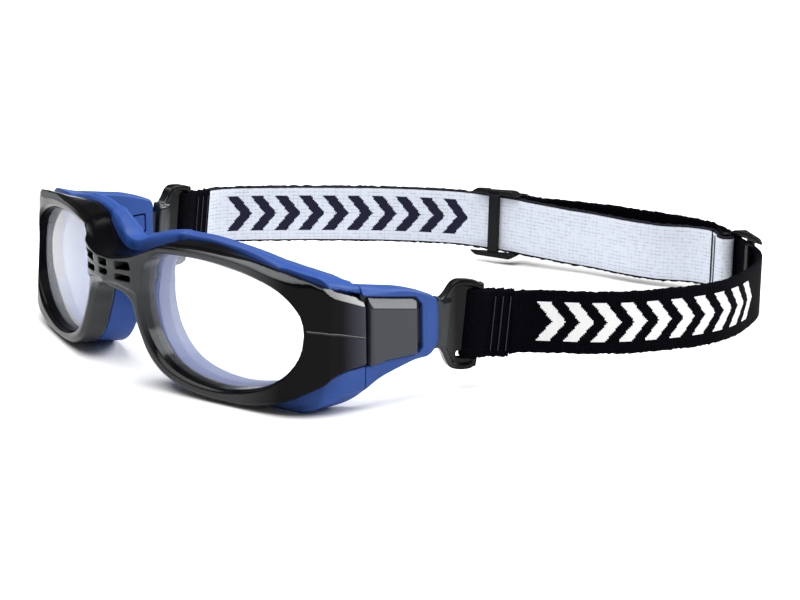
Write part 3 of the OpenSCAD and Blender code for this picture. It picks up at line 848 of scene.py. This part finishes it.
def clip_material(name):
    """Gloss black, with painted reflection: greyer on the neck beside the temple."""
    n = Nodes(name, 0.2, (0.006, 0.006, 0.007))
    head = n.ramp(n.split(n.place())[1], 0.0582, 0.0625)
    # Painted reflection: lighter grey on the neck, fading to near black on the head
    n.link(n.mix(head, (0.012, 0.015, 0.018), (0.002, 0.002, 0.0025)), "Base Color")
    n.link(n.ramp(head, 0, 1, 0.4, 0.12), "Specular IOR Level")
    n.link(n.ramp(n.noise(900, 3), 0.35, 0.75, 0.17, 0.23), "Roughness")
    return n.m


def frame_material(name):
    """Gloss black set to match the photo: grey on the rims' faces, black on the shelf and swept corners.

    Colour and gloss go by place and by which way the surface faces, the same on both sides. The grey on the
    rims' faces is painted reflection, and the black on the shelf and swept corners is painted shade.
    """
    n = Nodes(name, 0.16, (0.01, 0.01, 0.01))
    x, y, z = n.split(n.place())
    x = n.math("ABSOLUTE", x)
    up = n.split(n.add("NewGeometry").outputs["Normal"])[2]
    # Painted shade: the colour goes near black on upward faces and in the swept corners
    corner = n.ramp(x, 0.044, 0.057)
    dark = n.math("MAXIMUM", corner, n.ramp(up, 0.25, 0.6))
    # Painted reflection: grey on the rims' faces, lighter toward the top
    face = n.mix(n.ramp(z, -0.014, 0.004), (0.033, 0.033, 0.034), (0.05, 0.052, 0.054))
    grey = n.mix(dark, face, (0.0022, 0.0022, 0.0027))
    # Painted highlight: a light grey bevel above the lens, toward the temple
    side = n.math("MULTIPLY", n.ramp(x, 0.022, 0.034), n.ramp(y, 0.024, 0.018))
    bevel_painted_highlight = n.math("MULTIPLY", n.math("MULTIPLY", n.ramp(up, 0.42, 0.5), n.ramp(up, 0.84, 0.79)), side)
    bevel_painted_highlight = n.math("MULTIPLY", bevel_painted_highlight, n.ramp(z, 0.006, 0.009))
    grey = n.mix(bevel_painted_highlight, grey, (0.085, 0.087, 0.09))
    # Painted reflection: a bluish grey on the rear of the end pieces
    rear = n.math("MULTIPLY", n.ramp(y, 0.0255, 0.0325), n.ramp(up, 0.5, 0.2))
    n.link(n.mix(rear, grey, (0.042, 0.045, 0.06)), "Base Color")
    gleam = n.math("MULTIPLY", n.ramp(y, 0.019, 0.033, 0, 0.5), n.ramp(up, 0.35, 0.5))
    plain = n.math("MULTIPLY", n.ramp(corner, 0, 1, 0.15, 0.06), n.ramp(up, 0.82, 0.9, 1, 0.12))
    n.link(n.math("ADD", gleam, plain), "Specular IOR Level")
    n.link(n.ramp(n.noise(900, 3), 0.35, 0.75, 0.12, 0.2), "Roughness")
    n.bump(n.noise(2600, 2), 0.05, 0.00002)
    return n.m


def soft_material(name, color, light):
    n = Nodes(name, 0.5, color, Specular_IOR_Level=0.2)
    n.link(n.mix(n.ramp(n.noise(60, 3), 0.35, 0.7), color, light), "Base Color")
    n.link(n.ramp(n.noise(1800, 3), 0.3, 0.7, 0.40, 0.52), "Roughness")
    n.bump(n.noise(3500, 3), 0.12, 0.00003)
    return n.m


KNIT = 0.42  # step of the woven pattern, mm


def weave_coords(n):
    """Places along and across the webbing, in mm."""
    s, t, _ = n.split(n.add("UVMap", uv_map="weave").outputs[0])
    return n.math("MULTIPLY", s, UV_SCALE), n.math("MULTIPLY", t, UV_SCALE)


def chevrons(n, s, t, first, last, pitch, half_h):
    """A row of plain chevrons between two places along the strap, stepped to the knit."""
    s, t = (n.math("MULTIPLY", n.math("FLOOR", n.math("DIVIDE", c, KNIT)), KNIT) for c in (s, t))
    ta = n.math("ABSOLUTE", t)
    lead = n.math("ADD", n.math("SUBTRACT", s, first), n.math("MULTIPLY", ta, 0.8))
    part = n.math("FRACT", n.math("DIVIDE", lead, pitch))
    bar = n.math("LESS_THAN", part, 0.5)
    high = n.math("LESS_THAN", ta, half_h)
    inside = n.math("MULTIPLY", n.math("GREATER_THAN", lead, 0.0), n.math("LESS_THAN", lead, last - first))
    return n.math("MULTIPLY", n.math("MULTIPLY", bar, high), inside)


def webbing_black(name, arrows=None):
    n = Nodes(name, 0.85, (0.003, 0.003, 0.006), Specular_IOR_Level=0.03)
    s, t = weave_coords(n)
    rib = n.math("SINE", n.math("MULTIPLY", s, 2 * math.pi / 0.85))
    cross = n.math("SINE", n.math("MULTIPLY", t, 2 * math.pi / 0.5))
    fuzz = n.noise(2200, 3)
    base = n.mix(n.ramp(fuzz, 0.35, 0.7), (0.0004, 0.0004, 0.0014), (0.0022, 0.0022, 0.0045))
    if arrows:
        base = n.mix(chevrons(n, s, t, *arrows), base, (0.8, 0.8, 0.8))
    n.link(base, "Base Color")
    height = n.math("ADD", n.math("MULTIPLY", rib, 0.5), n.math("MULTIPLY", cross, 0.35))
    n.bump(n.math("ADD", height, fuzz), 0.5, 0.00012)
    return n.m


def webbing_white(name, arrows=None):
    n = Nodes(name, 0.9, (0.78, 0.79, 0.83), Specular_IOR_Level=0.15)
    s, t = weave_coords(n)
    row = n.math("SINE", n.math("MULTIPLY", t, 2 * math.pi / 1.05))
    col = n.math("SINE", n.math("MULTIPLY", s, 2 * math.pi / 1.25))
    lines = n.math("MAXIMUM", n.ramp(row, 0.72, 1.0), n.math("MULTIPLY", n.ramp(col, 0.8, 1.0), 0.55))
    lines = n.math("MULTIPLY", lines, n.ramp(n.noise(700, 2), 0.38, 0.62))
    base = n.mix(n.math("MULTIPLY", lines, 0.75), (0.66, 0.70, 0.78), (0.27, 0.30, 0.36))
    border = n.math("GREATER_THAN", n.math("ABSOLUTE", t), 7.75)
    base = n.mix(border, base, (0.01, 0.01, 0.015))
    if arrows:
        base = n.mix(chevrons(n, s, t, *arrows), base, (0.012, 0.012, 0.03))
    n.link(base, "Base Color")
    height = n.math("ADD", n.math("MULTIPLY", row, 0.4), n.math("MULTIPLY", col, 0.3))
    n.bump(height, 0.35, 0.0001)
    return n.m


def lens_material():
    """Clear plastic with a glossy shine and a faint diffuse white, both stronger toward a glancing view; the
    diffuse white is painted reflection.
    """
    m = bpy.data.materials.new("clear_lens")
    m.use_nodes = True
    t = m.node_tree
    t.nodes.clear()

    def add(kind, color=None, **values):
        n = t.nodes.new("ShaderNode" + kind)
        if color:
            n.inputs[0].default_value = (*color, 1)
        for k, v in values.items():
            setattr(n, k, v)
        return n

    clear = add("BsdfTransparent", (0.95, 0.965, 0.99))
    # Painted reflection: a diffuse white that stands in for half of the glancing reflection
    painted_reflection = add("BsdfDiffuse", (0.86, 0.89, 0.98))
    shine = add("BsdfGlossy", (1, 1, 1))
    shine.inputs["Roughness"].default_value = 0.03
    coat, mix, out = add("MixShader"), add("MixShader"), add("OutputMaterial")
    coat.inputs[0].default_value = 0.5
    # Schlick's rise of reflection toward a glancing view, the same on both sides of a face
    facing = add("LayerWeight")
    facing.inputs["Blend"].default_value = 0.5
    steep, total = add("Math", operation="POWER"), add("Math", operation="MULTIPLY_ADD")
    steep.inputs[1].default_value = 5.0
    total.inputs[1].default_value, total.inputs[2].default_value = 0.95, 0.17
    for start, end, i in ((facing, steep, 0), (steep, total, 0), (total, mix, 0), (painted_reflection, coat, 1),
                          (shine, coat, 2), (clear, mix, 1), (coat, mix, 2), (mix, out, 0)):
        t.links.new(start.outputs["Facing" if start == facing else 0], end.inputs[i])
    return m


# Arrow rows: first and last mm along the strap, pitch and half height
MAT = {
    "black": frame_material("frame_gloss_painted_light"),
    "plate": gloss_material("plate_gloss", (0.026, 0.029, 0.038), 0.2),
    "clip": clip_material("clip_gloss"),
    "slider": gloss_material("slider_satin", (0.003, 0.003, 0.0035), 0.26, level=0.12),
    # Painted shade: near black, used for the groove band and the floor of the plate's pocket
    "dark": gloss_material("painted_shade_black", (0.001, 0.001, 0.001), 0.5),
    # Painted highlight: a light grey band along the groove's edge
    "painted_edge_highlight": gloss_material("edge_painted_highlight", (0.13, 0.13, 0.135), 0.3),
    "core": gloss_material("core_satin", (0.02, 0.02, 0.022), 0.4),
    "blue": soft_material("soft_blue", (0.017, 0.058, 0.245), (0.022, 0.068, 0.27)),
    "lens": lens_material(),
    "steel": Nodes("pin_steel", 0.3, (0.6, 0.6, 0.62), Metallic=1.0).m,
    "thread": Nodes("thread_black", 0.8, (0.012, 0.012, 0.02)).m,
    "edge": webbing_black("webbing_edge"),
    "outside": webbing_black("webbing_outside"),
    "outside_left": webbing_black("webbing_outside_arrows", (11.0, 82.4, 7.2, 5.2)),
    "inside": webbing_white("webbing_inside"),
    "inside_right": webbing_white("webbing_inside_arrows", (13.0, 84.4, 7.2, 5.2)),
}

# ---------------------------------------------------------------- pieces
STEP = 1.0 if FINE else 1.7
MESHES = {}


def dress(o, *keys):
    """Give an object its materials, in slot order."""
    for key in keys:
        o.data.materials.append(MAT[key])


def moulded(name, field, low, high, step, material, body, nodes, slot, mirror=None):
    """A piece from a field. With mirror False or True, the left piece's mesh serves both sides."""
    key = name if mirror is None else field.__name__
    if key not in MESHES:
        MESHES[key] = field_mesh(field, low, high, step * STEP)
    o = add_object(name, *MESHES[key], mirror=bool(mirror))
    dress(o, material)
    if body:
        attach(o, body)
    if nodes:
        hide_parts(*nodes)
    return o


moulded("goggle_front", front_field, (-69, -4.5, -21.5), (69, 35, 19.5), 0.36, "black", "frame",
        ["front_frame"], "frame_black")
moulded("cushion", cushion_field, (-69, 0, -21.5), (69, 34.5, 20.5), 0.42, "blue", "frame",
        ["face_cushion"], "soft_blue")
for side, k in (("left", 1), ("right", -1)):
    m = k < 0
    # Painted shade and painted highlight: a near-black band where the groove's shade falls, and a light grey
    # band along its edge
    for line, material, low, high, out in (("groove", "dark", -0.42, 0.0, 0.02),
                                           ("edge", "painted_edge_highlight", -0.02, 0.16, 0.03)):
        o = add_object(line + "_" + side, *side_line(low, high, out), mirror=m)
        dress(o, material)
        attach(o, "frame")
    temple, tab, clip = "temple_" + side, "tab_" + side, "clip_" + side
    moulded("lens_pane_" + side, lens_field, (6, -2, -19.5), (68, 24, 19), 0.6, "lens", "frame",
            ["lens_" + side], "clear_lens", m)
    sleeve = moulded("sleeve_" + side, sleeve_field, (60, 29, -18.5), (68, 58.5, 14.5), 0.3, "blue", None,
                     ["temple_sleeve_" + side], "soft_blue", m)
    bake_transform(sleeve)
    boot = moulded("boot_" + side, boot_field, (63, 31.5, -11), (66.5, 53, 11), 0.35, "dark", None,
                   [], "core_plastic", m)
    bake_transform(boot)
    moulded("plate_" + side, plate_field, (64.5, 33, -10), (68, 51.5, 10), 0.22, "plate", temple,
            ["temple_plate_" + side], "frame_black", m)
    moulded("tab_piece_" + side, tab_field, (60, 44, -4), (63, 53, 4), 0.18, "blue", tab,
            ["release_tab_" + side], "soft_blue", m)
    moulded("clip_piece_" + side, clip_field, (60, 42.5, -18), (72, 72, 14), 0.26, "clip", clip,
            ["strap_clip_" + side], "clip_black", m)
    moulded("slider_piece_" + side, slider_field(side), *SLIDER_BOX[side], 0.3, "slider", "slider_" + side,
            ["slider_" + side], "slider_black")

    # Sewn ends
    line, across = fold_route(1.6, 9.0, clip_place)
    if m:
        line, across = line * [-1, 1, 1], across * [1, -1, -1]
    fold = ribbon("clip_fold_piece_" + side, (line, across), CLIP_FOLD_HALF, FOLD_THICK, 0.5, 0.16, seed=5 + k)
    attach(fold, clip)
    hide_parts("clip_fold_" + side)
    end = ribbon("slider_fold_piece_" + side, fold_route(1.2, 7.0, slider_bar_place(side)), TAPE_HALF,
                 FOLD_THICK, 0.5, 0.1, seed=15 + k)
    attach(end, "slider_" + side)
    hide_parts("slider_fold_" + side)
    dress(fold, "outside", "outside", "edge")
    dress(end, "outside" if m else "inside", "outside", "edge")

left = ribbon("outer_strap_piece", loop_route(OUTER_ROUTE, OUTER_LIFT), TAPE_HALF, TAPE_THICK,
              0.8, 0.1, seed=3)
right = ribbon("inner_strap_piece", loop_route(INNER_ROUTE, INNER_LIFT), TAPE_HALF, TAPE_THICK,
               0.8, 0.1, seed=4)
dress(left, "outside_left", "outside", "edge")
dress(right, "inside_right", "outside", "edge")
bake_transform(left)
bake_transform(right)
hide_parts("outer_strap")
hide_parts("inner_strap")

# CAD nodes that stay in view: pins, cores and stitching
for name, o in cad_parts.items():
    o.data.materials.clear()
    dress(o, {"hinge_pin": "steel", "temple_core": "core"}.get(name.rsplit("_", 1)[0], "thread"))


# ---------------------------------------------------------------- studio
FLOOR_HALF = 4000


def area(name, at, aim, size, power):
    data = bpy.data.lights.new(name, "AREA")
    data.shape, data.size, data.size_y, data.energy = "RECTANGLE", size[0], size[1], power
    o = bpy.data.objects.new(name, data)
    bpy.context.scene.collection.objects.link(o)
    aimed = (Vector(at) - Vector(aim)).to_track_quat("Z", "Y")
    o.matrix_world = Matrix.Translation(at) @ aimed.to_matrix().to_4x4()


signs = ((-1, -1), (1, -1), (1, 1), (-1, 1))
floor = add_object("floor", [(a * FLOOR_HALF, b * FLOOR_HALF, FLOOR_Z) for a, b in signs], [[0, 1, 2, 3]])
floor.data.materials.append(Nodes("floor", 0.9, (0.92, 0.92, 0.92), Specular_IOR_Level=0.0).m)
world = bpy.data.worlds.new("world")
world.use_nodes = True
sky = world.node_tree.nodes["Background"]
sky.inputs["Color"].default_value = (1, 1, 1, 1)
sky.inputs["Strength"].default_value = 0.16
bpy.context.scene.world = world
bpy.context.scene.view_settings.view_transform = "Standard"
area("overhead", (-0.1, -0.1, 1.3), (0, 0.06, 0), (1.6, 1.4), 36)
area("back_right", (0.40, 1.05, 0.66), (0.06, 0.03, 0), (0.95, 0.6), 17)
